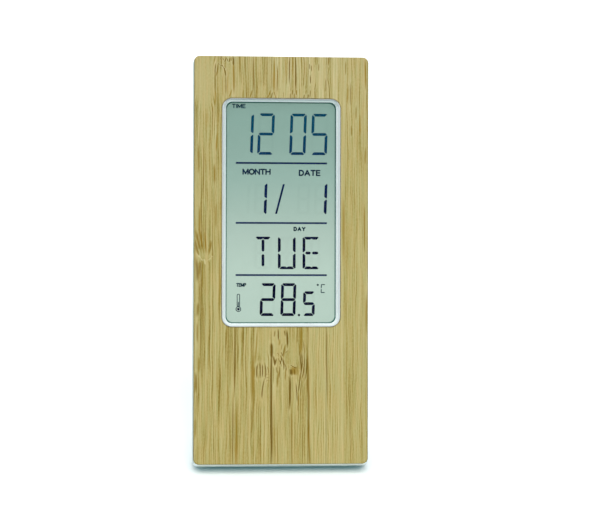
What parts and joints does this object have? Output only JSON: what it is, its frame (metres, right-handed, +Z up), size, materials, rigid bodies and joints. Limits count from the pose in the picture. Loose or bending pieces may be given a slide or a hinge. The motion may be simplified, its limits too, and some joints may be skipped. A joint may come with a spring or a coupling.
{
  "type": "desk clock with calendar",
  "caption": "Slim upright desk clock with a calendar and temperature display in a bamboo-faced white housing that leans on a fold-out stand",
  "frame": {"origin": "on the table, under the middle of the clock's bounding box as it stands with its stand open", "axes": "+X across the face to the right as seen from the front, -Y towards the viewer, +Z up from the table"},
  "size_m": [0.0608, 0.0494, 0.1394],
  "materials": {
    "bamboo": "clear satin lacquer over laminated bamboo",
    "tape": "double-sided tape",
    "housing_white": "fine moulded texture",
    "ring_white": "smooth satin",
    "clear_window": "clear polished",
    "gasket_black": "matt",
    "lcd_film": "grey-green polarising film",
    "lcd_glass": "clear",
    "reflector": "diffuse silver film",
    "holder_white": "moulded",
    "zebra_rubber": "layered silicone",
    "board_green": "solder mask on glass-fibre board",
    "resin_black": "glossy resin",
    "plated_steel": "nickel plated",
    "chip_body": "matt",
    "switch_black": "moulded",
    "brass": "plain",
    "piezo_ceramic": "silvered",
    "lead_red": "insulation",
    "lead_black": "insulation",
    "button_grey": "smooth moulded"
  },
  "bodies": {
    "housing": {"bamboo_panel": "bamboo", "panel_tape": "tape", "display_ring": "ring_white", "display_lens": "clear_window", "lens_gasket": "gasket_black", "lcd_polariser": "lcd_film", "lcd_glass_front": "lcd_glass", "lcd_glass_rear": "lcd_glass", "lcd_reflector": "reflector", "lcd_holder": "holder_white", "zebra_connectors": "zebra_rubber", "front_shell": "housing_white", "rear_shell": "housing_white", "main_board": "board_green", "controller_blob": "resin_black", "quartz_crystal": "plated_steel", "thermistor": "resin_black", "chip_components": "chip_body", "switch_bodies": "switch_black", "sounder_disc": "brass", "sounder_ceramic": "piezo_ceramic", "sounder_lead_signal": "lead_red", "sounder_lead_ground": "lead_black", "battery_cell": "plated_steel", "battery_contact_negative": "plated_steel", "battery_contact_positive": "plated_steel", "battery_lead_positive": "lead_red", "battery_lead_negative": "lead_black", "stand_pins": "plated_steel", "shell_screws": "plated_steel", "board_screws": "plated_steel"},
    "stand_leg": {"stand": "housing_white"},
    "door": {"battery_door": "housing_white"},
    "key_mode": {"button_mode": "button_grey", "plunger_mode": "switch_black"},
    "key_set": {"button_set": "button_grey", "plunger_set": "switch_black"},
    "key_up": {"button_up": "button_grey", "plunger_up": "switch_black"},
    "key_down": {"button_down": "button_grey", "plunger_down": "switch_black"}
  },
  "joints": [
    {"name": "stand_hinge", "type": "hinge", "parent": "housing", "child": "stand_leg", "pos_m": [0, 0.00573, 0.07061], "axis": [-1, 0, 0], "range_deg": [0, 23.97]},
    {"name": "door_turn", "type": "hinge", "parent": "housing", "child": "door", "pos_m": [0, -0.00485, 0.02453], "axis": [0, 0.9659, -0.2588], "range_deg": [0, 60]},
    {"name": "press_mode", "type": "slide", "parent": "housing", "child": "key_mode", "axis": [0, -0.9659, 0.2588], "range_m": [0, 0.0003], "stiffness_N_per_m": 1500},
    {"name": "press_set", "type": "slide", "parent": "housing", "child": "key_set", "axis": [0, -0.9659, 0.2588], "range_m": [0, 0.0003], "stiffness_N_per_m": 1500},
    {"name": "press_up", "type": "slide", "parent": "housing", "child": "key_up", "axis": [0, -0.9659, 0.2588], "range_m": [0, 0.0003], "stiffness_N_per_m": 1500},
    {"name": "press_down", "type": "slide", "parent": "housing", "child": "key_down", "axis": [0, -0.9659, 0.2588], "range_m": [0, 0.0003], "stiffness_N_per_m": 1500}
  ]
}
